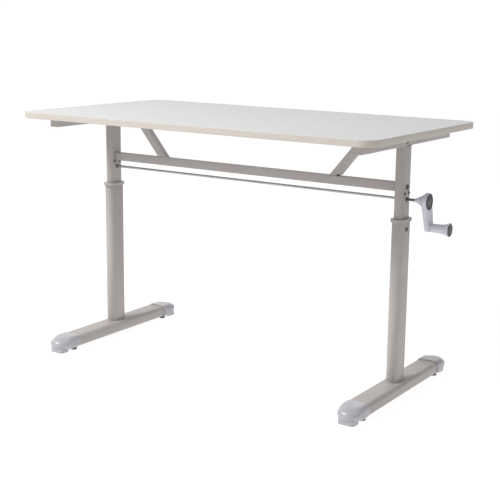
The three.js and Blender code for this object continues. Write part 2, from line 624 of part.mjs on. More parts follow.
function addDrive() {
  const shaft = run(hexagon(SHAFT_FLAT), 'x', SHAFT_START_X, CRANK_SOCKET_X - GAP);
  add('drive_shaft', shaft, 'steel', 0, FRAME_Y, SHAFT_Z);
  for (const [side, direction] of Object.entries(SIDES)) {
    add(`drive_gear_${side}`, driveGear(), 'steel', direction * COLUMN_X, FRAME_Y, SHAFT_Z);
  }
  add('crank_arm', crankArm(), 'greyPlastic', 0, FRAME_Y, SHAFT_Z);
  const cap = turned([
    [0, HUB_FACE_X - HUB_CAP.thickness],
    [HUB_CAP.radius, HUB_FACE_X - HUB_CAP.thickness],
    [HUB_CAP.radius, HUB_FACE_X - 4 * HUB_CAP.sunk],
    [HUB_CAP.radius - 3 * HUB_CAP.sunk, HUB_FACE_X - HUB_CAP.sunk],
    [0, HUB_FACE_X - HUB_CAP.sunk],
  ], 'x', HUB_SIDES);
  add('crank_hub_cap', cap, 'darkPlastic', 0, FRAME_Y, SHAFT_Z);
  const gripZ = SHAFT_Z - CRANK.reach;
  const pinHead = GRIP_PIN.headEnd - GRIP_PIN.head;
  const pin = turned([
    [0, GRIP_PIN.start],
    [GRIP_PIN.radius, GRIP_PIN.start],
    [GRIP_PIN.radius, pinHead],
    [GRIP_PIN.headRadius, pinHead],
    [GRIP_PIN.headRadius, GRIP_PIN.headEnd],
    [0, GRIP_PIN.headEnd],
  ], 'x');
  add('grip_pin', pin, 'steel', 0, FRAME_Y, gripZ);
  // trumpet-shaped sleeve, hollow for the pin, its head and the end cap
  const length = GRIP.end - GRIP.start;
  const headRecess = pinHead - GRIP.start - GAP;
  const capRecess = length - GRIP.capThickness - GAP;
  const gripProfile = [
    [GRIP.bore, 0],
    ...GRIP_FLARE,
    [GRIP.rimRadius, length - GAP],
    [GRIP.capRadius + GAP, length - GAP],
    [GRIP.capRadius + GAP, capRecess],
    [GRIP_PIN.headRadius + GAP, capRecess],
    [GRIP_PIN.headRadius + GAP, headRecess],
    [GRIP.bore, headRecess],
    [GRIP.bore, 0],
  ];
  add('crank_grip', turned(gripProfile, 'x'), 'greyPlastic', GRIP.start, FRAME_Y, gripZ);
  const capStart = GRIP.end - GRIP.capThickness;
  const gripCap = turned([
    [0, capStart],
    [GRIP.capRadius, capStart],
    [GRIP.capRadius, GRIP.end - 2 * GAP],
    [GRIP.capRadius - 3 * GAP, GRIP.end],
    [0, GRIP.end],
  ], 'x');
  add('grip_cap', gripCap, 'darkPlastic', 0, FRAME_Y, gripZ);
}

// ---- the desk ------------------------------------------------------------------------------

addTop();
for (const [side, direction] of Object.entries(SIDES)) {
  const x = direction * COLUMN_X;
  addFoot(side, x);
  addFixedColumn(side, direction);
  addLiftingColumn(side, direction);
  addRail(side, x);
  addBrace(side, direction);
  addScrew(side, x);
}
addCrossbar();
addDrive();

export default desk;
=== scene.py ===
import json
import math
import random

import bmesh
import bpy
from mathutils import Matrix, Vector


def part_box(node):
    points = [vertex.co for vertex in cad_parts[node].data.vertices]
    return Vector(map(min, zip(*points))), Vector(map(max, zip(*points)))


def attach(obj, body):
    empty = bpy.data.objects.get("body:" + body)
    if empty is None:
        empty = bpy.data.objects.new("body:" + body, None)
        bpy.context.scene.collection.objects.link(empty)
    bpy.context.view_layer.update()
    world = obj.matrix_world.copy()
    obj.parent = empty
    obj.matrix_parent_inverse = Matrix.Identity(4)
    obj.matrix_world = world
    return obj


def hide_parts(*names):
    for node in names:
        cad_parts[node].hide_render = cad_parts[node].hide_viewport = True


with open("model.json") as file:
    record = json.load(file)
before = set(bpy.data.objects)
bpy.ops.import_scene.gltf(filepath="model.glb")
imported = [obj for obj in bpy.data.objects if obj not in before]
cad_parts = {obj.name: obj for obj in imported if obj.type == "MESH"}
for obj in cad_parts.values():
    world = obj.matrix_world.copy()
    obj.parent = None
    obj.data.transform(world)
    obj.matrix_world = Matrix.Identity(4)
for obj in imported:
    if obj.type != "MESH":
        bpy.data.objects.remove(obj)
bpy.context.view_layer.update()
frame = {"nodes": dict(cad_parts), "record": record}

MM = 0.001
SIDES = (("left", -1), ("right", 1))
ENDS = (("front", -1), ("rear", 1))
SLOT_OF = {part["node"]: part["material_slot"] for part in frame["record"]["subparts"]}
BODY_OF = {node: body for body, nodes in frame["record"]["behaviour"]["bodies"].items() for node in nodes}


class Span:
    """The box of one CAD node: lo, hi, middle and size."""

    def __init__(self, node):
        self.lo, self.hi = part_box(node)
        self.mid = (self.lo + self.hi) / 2
        self.size = self.hi - self.lo


# ---- materials -----------------------------------------------------------------------------


EDGE_STARTS, EDGE_FULL = 0.98, 0.80  # cosine between the bevelled and the true normal
PLASTIC_IOR = 1.5


class Graph:
    """A short way to write a node tree."""

    def __init__(self, name):
        self.material = bpy.data.materials.new(name)
        self.material.use_nodes = True
        self.tree = self.material.node_tree
        self.shader = self.tree.nodes["Principled BSDF"]
        self.place = self.add("ShaderNodeTexCoord").outputs["Object"]

    def add(self, kind, **values):
        node = self.tree.nodes.new(kind)
        for key, value in values.items():
            setattr(node, key, value)
        return node

    def feed(self, socket, value):
        if isinstance(value, bpy.types.NodeSocket):
            self.tree.links.new(value, socket)
        else:
            socket.default_value = value

    def stretch(self, scale):
        node = self.add("ShaderNodeMapping")
        self.feed(node.inputs["Vector"], self.place)
        node.inputs["Scale"].default_value = scale
        return node.outputs["Vector"]

    def noise(self, scale, detail=3.0, rough=0.55, place=None):
        node = self.add("ShaderNodeTexNoise")
        self.feed(node.inputs["Vector"], place or self.place)
        node.inputs["Scale"].default_value = scale
        node.inputs["Detail"].default_value = detail
        node.inputs["Roughness"].default_value = rough
        return node.outputs["Fac"]

    def cells(self, scale):
        node = self.add("ShaderNodeTexVoronoi")
        self.feed(node.inputs["Vector"], self.place)
        node.inputs["Scale"].default_value = scale
        return node.outputs["Distance"]

    def ramp(self, value, *stops):
        node = self.add("ShaderNodeValToRGB")
        self.feed(node.inputs["Fac"], value)
        points = node.color_ramp.elements
        while len(points) < len(stops):
            points.new(0.5)
        for point, (position, color) in zip(points, stops):
            point.position = position
            point.color = (*color, 1.0)
        return node.outputs["Color"]

    def span(self, value, low, high, to_low, to_high):
        node = self.add("ShaderNodeMapRange")
        for socket, number in zip(node.inputs, (value, low, high, to_low, to_high)):
            self.feed(socket, number)
        return node.outputs["Result"]

    def mix(self, amount, first, second):
        node = self.add("ShaderNodeMix", data_type="RGBA")
        self.feed(node.inputs[0], amount)
        for socket, color in ((node.inputs[6], first), (node.inputs[7], second)):
            self.feed(socket, color if isinstance(color, bpy.types.NodeSocket) else (*color, 1.0))
        return node.outputs[2]

    def maths(self, operation, first, second=0.5):
        node = self.add("ShaderNodeMath", operation=operation)
        self.feed(node.inputs[0], first)
        self.feed(node.inputs[1], second)
        return node.outputs[0]

    def edges(self, radius):
        """1 on outer and inner edges, 0 on open faces."""
        bevel = self.add("ShaderNodeBevel", samples=4)
        bevel.inputs["Radius"].default_value = radius
        facing = self.add("ShaderNodeNewGeometry").outputs["Normal"]
        dot = self.add("ShaderNodeVectorMath", operation="DOT_PRODUCT")
        self.feed(dot.inputs[0], bevel.outputs["Normal"])
        self.feed(dot.inputs[1], facing)
        return self.span(dot.outputs["Value"], EDGE_STARTS, EDGE_FULL, 0.0, 1.0)

    def bump(self, height, strength, distance, under=None):
        node = self.add("ShaderNodeBump")
        node.inputs["Strength"].default_value = strength
        node.inputs["Distance"].default_value = distance
        self.feed(node.inputs["Height"], height)
        if under is not None:
            self.feed(node.inputs["Normal"], under)
        return node.outputs["Normal"]

    def finish(self, color, roughness, normal=None, metallic=0.0, coat=0.0, coat_roughness=0.2):
        self.feed(self.shader.inputs["Base Color"], color)
        self.feed(self.shader.inputs["Roughness"], roughness)
        self.shader.inputs["Metallic"].default_value = metallic
        self.shader.inputs["Coat Weight"].default_value = coat
        self.shader.inputs["Coat Roughness"].default_value = coat_roughness
        self.shader.inputs["IOR"].default_value = PLASTIC_IOR
        if normal is not None:
            self.feed(self.shader.inputs["Normal"], normal)
        return self.material


def tint(color, factor):
    return tuple(channel * factor for channel in color)


def laminate():
    g = Graph("laminate_white_painted_shade")
    # the white laminate is painted mid grey here, darker than its own white: painted shade for the weaker
    # light on the top
    base = (0.574, 0.574, 0.574)
    cloud = g.noise(9.0, 2.0)
    color = g.ramp(cloud, (0.25, tint(base, 0.975)), (0.75, tint(base, 1.02)))
    pore = g.noise(1500.0, 3.0)
    orange = g.noise(260.0, 2.0)
    normal = g.bump(orange, 0.10, 0.0002, g.bump(pore, 0.16, 0.00006))
    roughness = g.span(g.noise(45.0, 4.0), 0.3, 0.7, 0.42, 0.54)
    return g.finish(color, roughness, normal, coat=0.05, coat_roughness=0.35)


def edging():
    g = Graph("edge_band_plastic")
    base = (0.503, 0.461, 0.414)
    streak = g.noise(30.0, 5.0, 0.6, g.stretch((0.35, 0.35, 22.0)))
    color = g.ramp(streak, (0.3, tint(base, 0.94)), (0.72, tint(base, 1.04)))
    worn = g.mix(g.maths("MULTIPLY", g.edges(0.0010), 0.45), color, tint(base, 1.25))
    grain = g.noise(900.0, 3.0)
    return g.finish(worn, g.span(streak, 0.3, 0.7, 0.38, 0.50), g.bump(grain, 0.2, 0.00008))


def powder_coat():
    g = Graph("powder_coat_grey")
    base = (0.412, 0.380, 0.362)
    cloud = g.noise(14.0, 3.0)
    color = g.ramp(cloud, (0.3, tint(base, 0.965)), (0.7, tint(base, 1.03)))
    fleck = g.ramp(g.noise(2600.0, 2.0), (0.36, (0.0, 0.0, 0.0)), (0.62, (1.0, 1.0, 1.0)))
    color = g.mix(g.span(fleck, 0.0, 1.0, 0.0, 0.16), color, tint(base, 0.72))
    patchy = g.span(g.noise(190.0, 3.0), 0.42, 0.62, 0.0, 0.55)
    broken = g.maths("MULTIPLY", g.edges(0.0009), patchy)
    color = g.mix(broken, color, tint(base, 1.42))
    peel = g.noise(620.0, 2.0)
    fine = g.noise(1900.0, 2.0)
    normal = g.bump(peel, 0.22, 0.00018, g.bump(fine, 0.22, 0.00007))
    roughness = g.span(g.noise(80.0, 3.0), 0.3, 0.7, 0.36, 0.47)
    return g.finish(color, roughness, normal)


def grey_plastic(name="moulded_plastic_grey", base=(0.421, 0.408, 0.438)):
    g = Graph(name)
    cloud = g.noise(26.0, 3.0)
    color = g.ramp(cloud, (0.3, tint(base, 0.95)), (0.7, tint(base, 1.04)))
    spark = g.noise(1500.0, 2.0)
    normal = g.bump(g.noise(330.0, 2.0), 0.03, 0.0002, g.bump(spark, 0.18, 0.00006))
    roughness = g.span(g.noise(70.0, 4.0), 0.3, 0.7, 0.24, 0.36)
    return g.finish(color, roughness, normal, coat=0.06, coat_roughness=0.14)


def trim_plastic():
    g = Graph("trim_plastic_grey")
    base = (0.408, 0.372, 0.349)
    cloud = g.noise(30.0, 3.0)
    color = g.ramp(cloud, (0.3, tint(base, 0.95)), (0.7, tint(base, 1.04)))
    patchy = g.span(g.noise(260.0, 3.0), 0.4, 0.65, 0.10, 0.6)
    worn = g.maths("MULTIPLY", g.edges(0.0007), patchy)
    color = g.mix(worn, color, tint(base, 1.5))
    grain = g.noise(1300.0, 2.0)
    roughness = g.span(g.noise(90.0, 4.0), 0.3, 0.7, 0.36, 0.48)
    return g.finish(color, roughness, g.bump(grain, 0.2, 0.00008))


def dark_plastic():
    g = Graph("moulded_plastic_charcoal")
    base = (0.030, 0.028, 0.039)
    color = g.ramp(g.noise(60.0, 4.0), (0.3, tint(base, 0.85)), (0.7, tint(base, 1.18)))
    color = g.mix(g.maths("MULTIPLY", g.edges(0.0007), 0.4), color, tint(base, 2.3))
    grain = g.cells(1300.0)
    roughness = g.span(g.noise(90.0), 0.3, 0.7, 0.34, 0.48)
    return g.finish(color, roughness, g.bump(grain, 0.3, 0.00012))


def bush_plastic():
    g = Graph("bearing_plastic_black")
    base = (0.012, 0.012, 0.013)
    color = g.ramp(g.noise(120.0, 4.0), (0.3, tint(base, 0.7)), (0.7, tint(base, 1.5)))
    roughness = g.span(g.noise(150.0), 0.3, 0.7, 0.5, 0.65)
    return g.finish(color, roughness, g.bump(g.noise(1400.0), 0.3, 0.0001))


def inner_plastic():
    g = Graph("nylon_grey")
    base = (0.17, 0.17, 0.175)
    color = g.ramp(g.noise(70.0, 4.0), (0.3, tint(base, 0.86)), (0.7, tint(base, 1.12)))
    color = g.mix(g.maths("MULTIPLY", g.edges(0.0008), 0.35), color, tint(base, 1.8))
    roughness = g.span(g.noise(90.0), 0.3, 0.7, 0.40, 0.56)
    return g.finish(color, roughness, g.bump(g.noise(1100.0), 0.25, 0.0001))


def metal(name, base, rough_low, rough_high, along=(1.0, 1.0, 1.0), edge_wear_and_highlight=1.25, dark_from=None):
    """dark_from: where along x the steel turns darker, if it does."""
    g = Graph(name)
    brushed = g.noise(420.0, 4.0, 0.65, g.stretch(along))
    color = g.ramp(brushed, (0.28, tint(base, 0.80)), (0.72, tint(base, 1.08)))
    stain = g.ramp(g.noise(55.0, 4.0), (0.42, (0.0, 0.0, 0.0)), (0.72, (1.0, 1.0, 1.0)))
    color = g.mix(g.span(stain, 0.0, 1.0, 0.0, 0.22), color, tint(base, 0.62))
    # edges lighten by this factor: worn edges on most metal, a painted highlight on the screw heads
    color = g.mix(g.maths("MULTIPLY", g.edges(0.0006), 0.5), color, tint(base, edge_wear_and_highlight))
    if dark_from is not None:
        # from dark_from along x the colour turns much darker
        across = g.add("ShaderNodeSeparateXYZ")
        g.feed(across.inputs[0], g.place)
        darker_beyond = g.span(across.outputs[0], dark_from, dark_from + 0.004, 0.0, 0.8)
        color = g.mix(darker_beyond, color, tint(base, 0.18))
    roughness = g.span(brushed, 0.25, 0.75, rough_low, rough_high)
    return g.finish(color, roughness, g.bump(brushed, 0.25, 0.00008), metallic=1.0)


def rubber():
    g = Graph("rubber_black")
    base = (0.018, 0.018, 0.019)
    dust = g.ramp(g.noise(110.0, 5.0), (0.45, base), (0.8, tint(base, 2.6)))
    color = g.mix(g.maths("MULTIPLY", g.edges(0.0009), 0.5), dust, tint(base, 4.0))
    roughness = g.span(g.noise(130.0), 0.3, 0.7, 0.62, 0.82)
    return g.finish(color, roughness, g.bump(g.noise(800.0), 0.35, 0.00015))


def foot_grey():
    g = Graph("leveller_plastic_grey")
    base = (0.10, 0.095, 0.105)
    color = g.ramp(g.noise(90.0, 4.0), (0.3, tint(base, 0.85)), (0.7, tint(base, 1.1)))
    color = g.mix(g.maths("MULTIPLY", g.edges(0.0006), 0.5), color, tint(base, 1.5))
    roughness = g.span(g.noise(130.0), 0.3, 0.7, 0.35, 0.5)
    return g.finish(color, roughness, g.bump(g.noise(900.0), 0.2, 0.0001))


def weld_metal():
    g = Graph("weld_bead_coated")
    base = (0.402, 0.368, 0.345)
    color = g.ramp(g.noise(260.0, 4.0), (0.3, tint(base, 0.90)), (0.7, tint(base, 1.05)))
    roughness = g.span(g.noise(300.0), 0.3, 0.7, 0.36, 0.5)
    return g.finish(color, roughness, g.bump(g.noise(700.0, 3.0), 0.5, 0.0003))


MATERIALS = {
    "laminate": laminate(),
    "edging": edging(),
    "powder_coat": powder_coat(),
    "grey_plastic": grey_plastic(),
    "trim_plastic": trim_plastic(),
    "dark_plastic": dark_plastic(),
    "inner_plastic": inner_plastic(),
    "steel": metal("zinc_plated_steel", (0.46, 0.46, 0.46), 0.28, 0.46),
    "brass": metal("machined_brass", (0.52, 0.36, 0.13), 0.24, 0.40),
    "rubber": rubber(),
}
DRAWN_ALONG_X = (0.03, 1.0, 1.0)
SHAFT_DARK_FROM = 0.47  # the shaft's colour is darker from here to the crank
SHAFT_STEEL = metal(
    "drawn_steel_shaft", (0.44, 0.465, 0.49), 0.22, 0.38, DRAWN_ALONG_X, dark_from=SHAFT_DARK_FROM,
)
# screw heads: the dark base is painted shade for their recesses and rims, and the strong edge lightening (3.6)
# is a painted highlight
SCREW_STEEL_PAINTED_SHADE_AND_HIGHLIGHT = metal("screw_head_steel", (0.16, 0.155, 0.15), 0.18, 0.34, edge_wear_and_highlight=3.6)
BUSH_BLACK = bush_plastic()
# the crank and grip are the caps' grey plastic painted much lighter: painted light for the light they catch
CRANK_GREY_PAINTED_LIGHT = grey_plastic("moulded_plastic_crank_painted_light", (0.616, 0.594, 0.676))
LEVELLER_GREY = foot_grey()
WELD = weld_metal()

for node, thing in frame["nodes"].items():
    thing.data.materials.clear()
    thing.data.materials.append(MATERIALS[SLOT_OF[node]])


# ---- meshes --------------------------------------------------------------------------------

SHARP = math.radians(32)
WALL = 1.5 * MM  # of every steel tube
GAP = 0.3 * MM  # between pieces that meet
BAR_RADIUS = 2.2 * MM  # corners of the rectangular tubes
STEM_HOLE = 4.3 * MM  # radii of the drilled holes
SCREW_HOLE = 2.8 * MM
SMALL_HOLE = 2.0 * MM
BUSH_HOLE = 7.2 * MM
PAST = 5 * MM  # how far a drill runs past the wall


def mesh_from(name, verts, faces):
    mesh = bpy.data.meshes.new(name)
    mesh.from_pydata([tuple(v) for v in verts], [], faces)
    tidy(mesh)
    return mesh


def tidy(mesh, merge=1e-6):
    bm = bmesh.new()
    bm.from_mesh(mesh)
    bmesh.ops.remove_doubles(bm, verts=bm.verts, dist=merge)
    bmesh.ops.dissolve_degenerate(bm, dist=merge, edges=bm.edges)
    bmesh.ops.recalc_face_normals(bm, faces=bm.faces)
    bm.to_mesh(mesh)
    bm.free()
    mesh.polygons.foreach_set("use_smooth", [True] * len(mesh.polygons))
    mesh.set_sharp_from_angle(angle=SHARP)
    mesh.update()


def make(name, verts, faces):
    """An object from plain vertices and faces, in the row frame."""
    thing = bpy.data.objects.new(name, mesh_from(name, verts, faces))
    bpy.context.scene.collection.objects.link(thing)
    return thing


def rounded(width, height, radius, steps=10):
    """Corners of a rectangle with round corners, anticlockwise, middle at 0, 0."""
    points = []
    radius = min(radius, width / 2 - 1e-6, height / 2 - 1e-6)
    for quarter in range(4):
        start = quarter * math.pi / 2
        sx = 1 if quarter in (0, 3) else -1
        sy = 1 if quarter in (0, 1) else -1
        for k in range(steps + 1):
            angle = start + k / steps * math.pi / 2
            points.append((
                sx * (width / 2 - radius) + radius * math.cos(angle),
                sy * (height / 2 - radius) + radius * math.sin(angle),
            ))
    return points


def oval(width, height, steps=14):
    return rounded(width, height, min(width, height) / 2, steps)


def place(point, axis, along, centre):
    """A point of an outline, on the desk: its two numbers lie across the axis."""
    u, v = point
    if axis == "x":
        return Vector((along, centre[0] + u, centre[1] + v))
    if axis == "y":
        return Vector((centre[0] + u, along, centre[1] + v))
    return Vector((centre[0] + u, centre[1] + v, along))


def skin(name, rings, closed=False):
    """A surface through rings of points; closed runs back to the first ring, else both ends are filled."""
    count = len(rings[0])
    verts = [point for ring in rings for point in ring]
    faces = []
    pairs = range(len(rings) if closed else len(rings) - 1)
    for i in pairs:
        a, b = i * count, (i + 1) % len(rings) * count
        for k in range(count):
            n = (k + 1) % count
            faces.append((a + k, a + n, b + n, b + k))
    if not closed:
        faces.append(tuple(range(count))[::-1])
        faces.append(tuple((len(rings) - 1) * count + k for k in range(count)))
    return make(name, verts, faces)


def tube(name, shape, axis, start, end, centre, wall, lip=0.4 * MM, steps=14):
    """A hollow bar. shape is (width, height, radius) across the axis; its ends have small round lips."""
    width, height, radius = shape

    def ring(inset, along):
        size = (width - 2 * inset, height - 2 * inset)
        outline = rounded(*size, max(radius - inset, 0.2 * MM), steps)
        return [place(p, axis, along, centre) for p in outline]

    rings = [
        ring(lip, start), ring(lip * 0.3, start + lip * 0.3), ring(0, start + lip),
        ring(0, end - lip), ring(lip * 0.3, end - lip * 0.3), ring(lip, end),
        ring(wall - lip * 0.4, end), ring(wall, end - lip * 0.4),
        ring(wall, start + lip * 0.4), ring(wall - lip * 0.4, start),
    ]
    return skin(name, rings, closed=True)


def block(name, shape, axis, start, end, centre, lip=0.4 * MM, steps=10):
    """A solid bar with round corners and small round lips."""
    width, height, radius = shape

    def ring(inset, along):
        size = (width - 2 * inset, height - 2 * inset)
        return [place(p, axis, along, centre) for p in rounded(*size, max(radius - inset, 0.1 * MM), steps)]

    rings = [
        ring(lip, start), ring(lip * 0.3, start + lip * 0.3), ring(0, start + lip),
        ring(0, end - lip), ring(lip * 0.3, end - lip * 0.3), ring(lip, end),
    ]
    return skin(name, rings)


def lathe(name, profile, axis, centre, sides=48):
    """A round piece from (radius, place along the axis) pairs. It starts and ends on the axis or closes."""
    verts, rows, faces = [], [], []
    for radius, along in profile:
        if radius < 1e-7:
            rows.append([len(verts)])
            verts.append(place((0, 0), axis, along, centre))
            continue
        rows.append(list(range(len(verts), len(verts) + sides)))
        for k in range(sides):
            angle = 2 * math.pi * k / sides
            point = (radius * math.cos(angle), radius * math.sin(angle))
            verts.append(place(point, axis, along, centre))
    pairs = list(zip(rows, rows[1:]))
    if profile[0][0] > 1e-7:
        pairs.append((rows[-1], rows[0]))
    for a, b in pairs:
        for k in range(sides):
            n = (k + 1) % sides
            corners = [a[k % len(a)], a[n % len(a)], b[n % len(b)], b[k % len(b)]]
            faces.append(tuple(dict.fromkeys(corners)))
    return make(name, verts, [f for f in faces if len(f) > 2])


def soften(profile, radius, steps=4):
    """Rounds every corner of a profile that lies off the axis."""
    points = []
    for i, (r, s) in enumerate(profile):
        here = Vector((r, s))
        if i in (0, len(profile) - 1):
            points.append(here)
            continue
        before, after = Vector(profile[i - 1]) - here, Vector(profile[i + 1]) - here
        reach = min(radius, before.length * 0.45, after.length * 0.45)
        a, b = here + before.normalized() * reach, here + after.normalized() * reach
        for k in range(steps + 1):
            t = k / steps
            points.append(a * (1 - t) ** 2 + here * 2 * t * (1 - t) + b * t ** 2)
    return [(max(p.x, 0.0), p.y) for p in points]


def baked(thing):
    """Applies a piece's modifiers to its mesh."""
    bpy.context.view_layer.update()
    graph = bpy.context.evaluated_depsgraph_get()
    mesh = bpy.data.meshes.new_from_object(thing.evaluated_get(graph))
    old = thing.data
    thing.modifiers.clear()
    thing.data = mesh
    bpy.data.meshes.remove(old)
    return thing


def boolean(thing, operation, *others):
    for other in others:
        step = thing.modifiers.new("step", "BOOLEAN")
        step.operation = operation
        step.solver = "EXACT"
        step.object = other
    baked(thing)
    for other in others:
        bpy.data.objects.remove(other)
    tidy(thing.data)
    return thing


def carve(thing, *tools):
    return boolean(thing, "DIFFERENCE", *tools)


def weld_on(thing, *others):
    return boolean(thing, "UNION", *others)


def moulded(thing, voxel, rounds=6):
    """Melts a joined shape into one skin with small fillets, as a moulded piece has."""
    step = thing.modifiers.new("voxels", "REMESH")
    step.mode = "VOXEL"
    step.voxel_size = voxel
    step.adaptivity = 0.0
    smooth = thing.modifiers.new("smooth", "SMOOTH")
    smooth.factor = 0.5
    smooth.iterations = rounds
    baked(thing)
    thing.data.polygons.foreach_set("use_smooth", [True] * len(thing.data.polygons))
    return thing


def rod(axis, radius, start, end, centre, sides=40):
    return lathe("tool", [(0, start), (radius, start), (radius, end), (0, end)], axis, centre, sides)


def put(thing, *nodes, material=None):
    """Hands a piece to its body, its slot and the CAD nodes it stands for."""
    slot = SLOT_OF[nodes[0]]
    thing.data.materials.clear()
    thing.data.materials.append(material or MATERIALS[slot])
    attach(thing, BODY_OF[nodes[0]])
    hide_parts(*nodes)


# ---- tabletop ------------------------------------------------------------------------------


TOP_RADIUS = 46 * MM  # corners of the top, seen from above


def build_top():
    board, band = Span("tabletop"), Span("edge_band")
    gap = (band.size.x - board.size.x) / 2
    centre = (board.mid.x, board.mid.y)
    lip = 0.25 * MM

    def ring(inset, z):
        outline = rounded(band.size.x - 2 * inset, band.size.y - 2 * inset, TOP_RADIUS - inset, 28)
        return [place(p, "z", z, centre) for p in outline]

    seam = gap - 0.15 * MM
    z0, z1 = board.lo.z, board.hi.z
    slab = skin("top_board", [
        ring(seam + lip, z0), ring(seam, z0 + lip), ring(seam, z1 - lip), ring(seam + lip, z1),
    ])
    put(slab, "tabletop")
    arris = 1.3 * MM
    curve = [(arris * (1 - math.sin(a)), arris * (1 - math.cos(a))) for a in
             (math.radians(d) for d in range(0, 91, 15))]
    outer = [(inset, z0 + rise) for inset, rise in curve]
    outer += [(inset, z1 - rise) for inset, rise in curve[::-1]]
    inner = gap - 0.30 * MM
    rings = [ring(inset, z) for inset, z in outer]
    rings += [ring(inner, z1), ring(inner, z0)]
    put(skin("top_edge_band", rings, closed=True), "edge_band")


# ---- feet ----------------------------------------------------------------------------------

FOOT_RADIUS = 12 * MM
CAP_RADIUS = 14 * MM
CAP_CREASE = 27 * MM  # from the seam
TOE_FROM, TOE_TO, TOE_WIDTH = 248 * MM, 285 * MM, 50 * MM


def swell(t, power):
    """1 at t = 0, falling to 0 at t = 1 along a rounded curve."""
    return max(0.0, 1.0 - t ** power) ** (1.0 / power)


def filled_in(outline, step):
    """The same closed outline with extra points on its straight runs."""
    points = []
    for i, (u, v) in enumerate(outline):
        next_u, next_v = outline[(i + 1) % len(outline)]
        pieces = max(1, math.ceil(math.hypot(next_u - u, next_v - v) / step))
        points += [(u + (next_u - u) * k / pieces, v + (next_v - v) * k / pieces) for k in range(pieces)]
    return points


def foot_cap(name, side, end, direction):
    """A ring round the tube, a crease, then a dome with a toe pad under its front."""
    cap, bar = Span(name), Span(f"foot_tube_{side}")
    stud = Span(f"leveller_{side}_{end}")
    mid_x, mid_z = cap.mid.x, bar.mid.z
    half_w, half_h = cap.size.x / 2, cap.hi.z - mid_z
    seam = cap.lo.y if direction > 0 else cap.hi.y
    tip = cap.hi.y if direction > 0 else cap.lo.y
    length = abs(tip - seam)
    crease = CAP_CREASE / length
    outline = filled_in(rounded(2 * half_w, 2 * half_h, CAP_RADIUS, 12), 2.5 * MM)

    def ring(t, grow, dome=0.0, bow=0.0):
        """A section at t of the length; dome is how far along the rounded front it lies."""
        wide = half_w * grow * swell(dome, 2.4)
        upper = half_h * grow * swell(dome, 2.2)
        lower = half_h * grow * swell(dome, 2.8)
        blend = min(1.0, dome * 1.7)
        points = []
        for u, v in outline:
            round_out = 1.0 / math.hypot(u / half_w, v / half_h)
            factor = 1.0 - blend + round_out * blend
            x = u * factor / half_w * wide
            z = v * factor / half_h * (upper if v > 0 else lower)
            arch = bow * math.cos(math.pi * u / (2.2 * half_w)) * (1.0 if v > 0 else 0.3)
            y = seam + direction * (length * t - arch)
            points.append(Vector((mid_x + x, y, mid_z + z)))
        return points

    bow = 1.6 * MM
    rings = [
        ring(0.0, 0.966, bow=bow), ring(0.004, 0.985, bow=bow), ring(0.014, 0.997, bow=bow),
        ring(0.03, 1.0, bow=bow), ring(0.12, 1.0, bow=0.6 * bow), ring(0.22, 1.0),
        ring(crease - 0.02, 1.0), ring(crease - 0.005, 0.998), ring(crease + 0.003, 0.985),
        ring(crease + 0.012, 0.984), ring(crease + 0.03, 0.992),
    ]
    start = crease + 0.05
    steps = 22
    for k in range(steps + 1):
        dome = math.sin(k / steps * math.pi / 2) * 0.9975
        rings.append(ring(start + (1.0 - start) * dome, 0.992, dome))
    piece = skin("dome", rings)
    near, far = (bar.mid.y + direction * reach for reach in (TOE_FROM, TOE_TO))
    pad_at = (mid_x, (near + far) / 2)
    pad_shape = (TOE_WIDTH, abs(far - near), 10 * MM)
    pad = block("pad", pad_shape, "z", cap.lo.z, mid_z - 8 * MM, pad_at, lip=0.9 * MM)
    weld_on(piece, pad)
    foot_end = bar.hi.y if direction > 0 else bar.lo.y
    bore_start, bore_end = sorted((seam - direction * 8 * MM, foot_end + direction * GAP))
    bore_shape = (bar.size.x + 2 * GAP, bar.size.z + 2 * GAP, FOOT_RADIUS + GAP)
    bore = block("bore", bore_shape, "y", bore_start, bore_end, (mid_x, mid_z), lip=0.1 * MM, steps=14)
    stem = rod("z", STEM_HOLE, -PAST, mid_z, (stud.mid.x, stud.mid.y))
    carve(piece, bore, stem)
    piece.name = f"cap_{side}_{end}"
    return piece


def build_feet():
    for side, _ in SIDES:
        node = f"foot_tube_{side}"
        span = Span(node)
        shape = (span.size.x, span.size.z, FOOT_RADIUS)
        centre = (span.mid.x, span.mid.z)
        bar = tube(f"foot_bar_{side}", shape, "y", span.lo.y, span.hi.y, centre, WALL, steps=18)
        holes = []
        for end, _ in ENDS:
            stud = Span(f"leveller_{side}_{end}")
            holes.append(rod("z", STEM_HOLE, 0, span.mid.z, (stud.mid.x, stud.mid.y)))
        put(carve(bar, *holes), node)
        for end, direction in ENDS:
            name = f"foot_cap_{side}_{end}"
            put(foot_cap(name, side, end, direction), name)
            build_leveller(f"leveller_{side}_{end}")


def build_leveller(node):
    span = Span(node)
    r = span.size.x / 2
    z0, disc = span.lo.z, 5.2 * MM
    profile = [
        (0, z0), (r - 1.6 * MM, z0), (r - 0.5 * MM, z0 + 0.5 * MM), (r, z0 + 1.3 * MM),
        (r, z0 + disc - 1.9 * MM), (r - 0.6 * MM, z0 + disc - 1.1 * MM), (r - 3 * MM, z0 + disc - 0.1 * MM),
        (5.2 * MM, z0 + disc - 0.05 * MM), (4 * MM, z0 + disc), (4 * MM, span.hi.z - 0.8 * MM),
        (3.3 * MM, span.hi.z), (0, span.hi.z),
    ]
    disc_piece = lathe(f"{node}_disc", profile, "z", (span.mid.x, span.mid.y), 56)
    put(disc_piece, node)
    mesh = disc_piece.data
    mesh.materials.append(LEVELLER_GREY)
    mesh.materials.append(MATERIALS["steel"])
    for face in mesh.polygons:
        distance = math.hypot(face.center.x - span.mid.x, face.center.y - span.mid.y)
        if face.center.z > z0 + disc + 0.5 * MM and distance < 5 * MM:
            face.material_index = 2
        elif face.center.z > z0 + 2.6 * MM:
            face.material_index = 1


# ---- columns -------------------------------------------------------------------------------


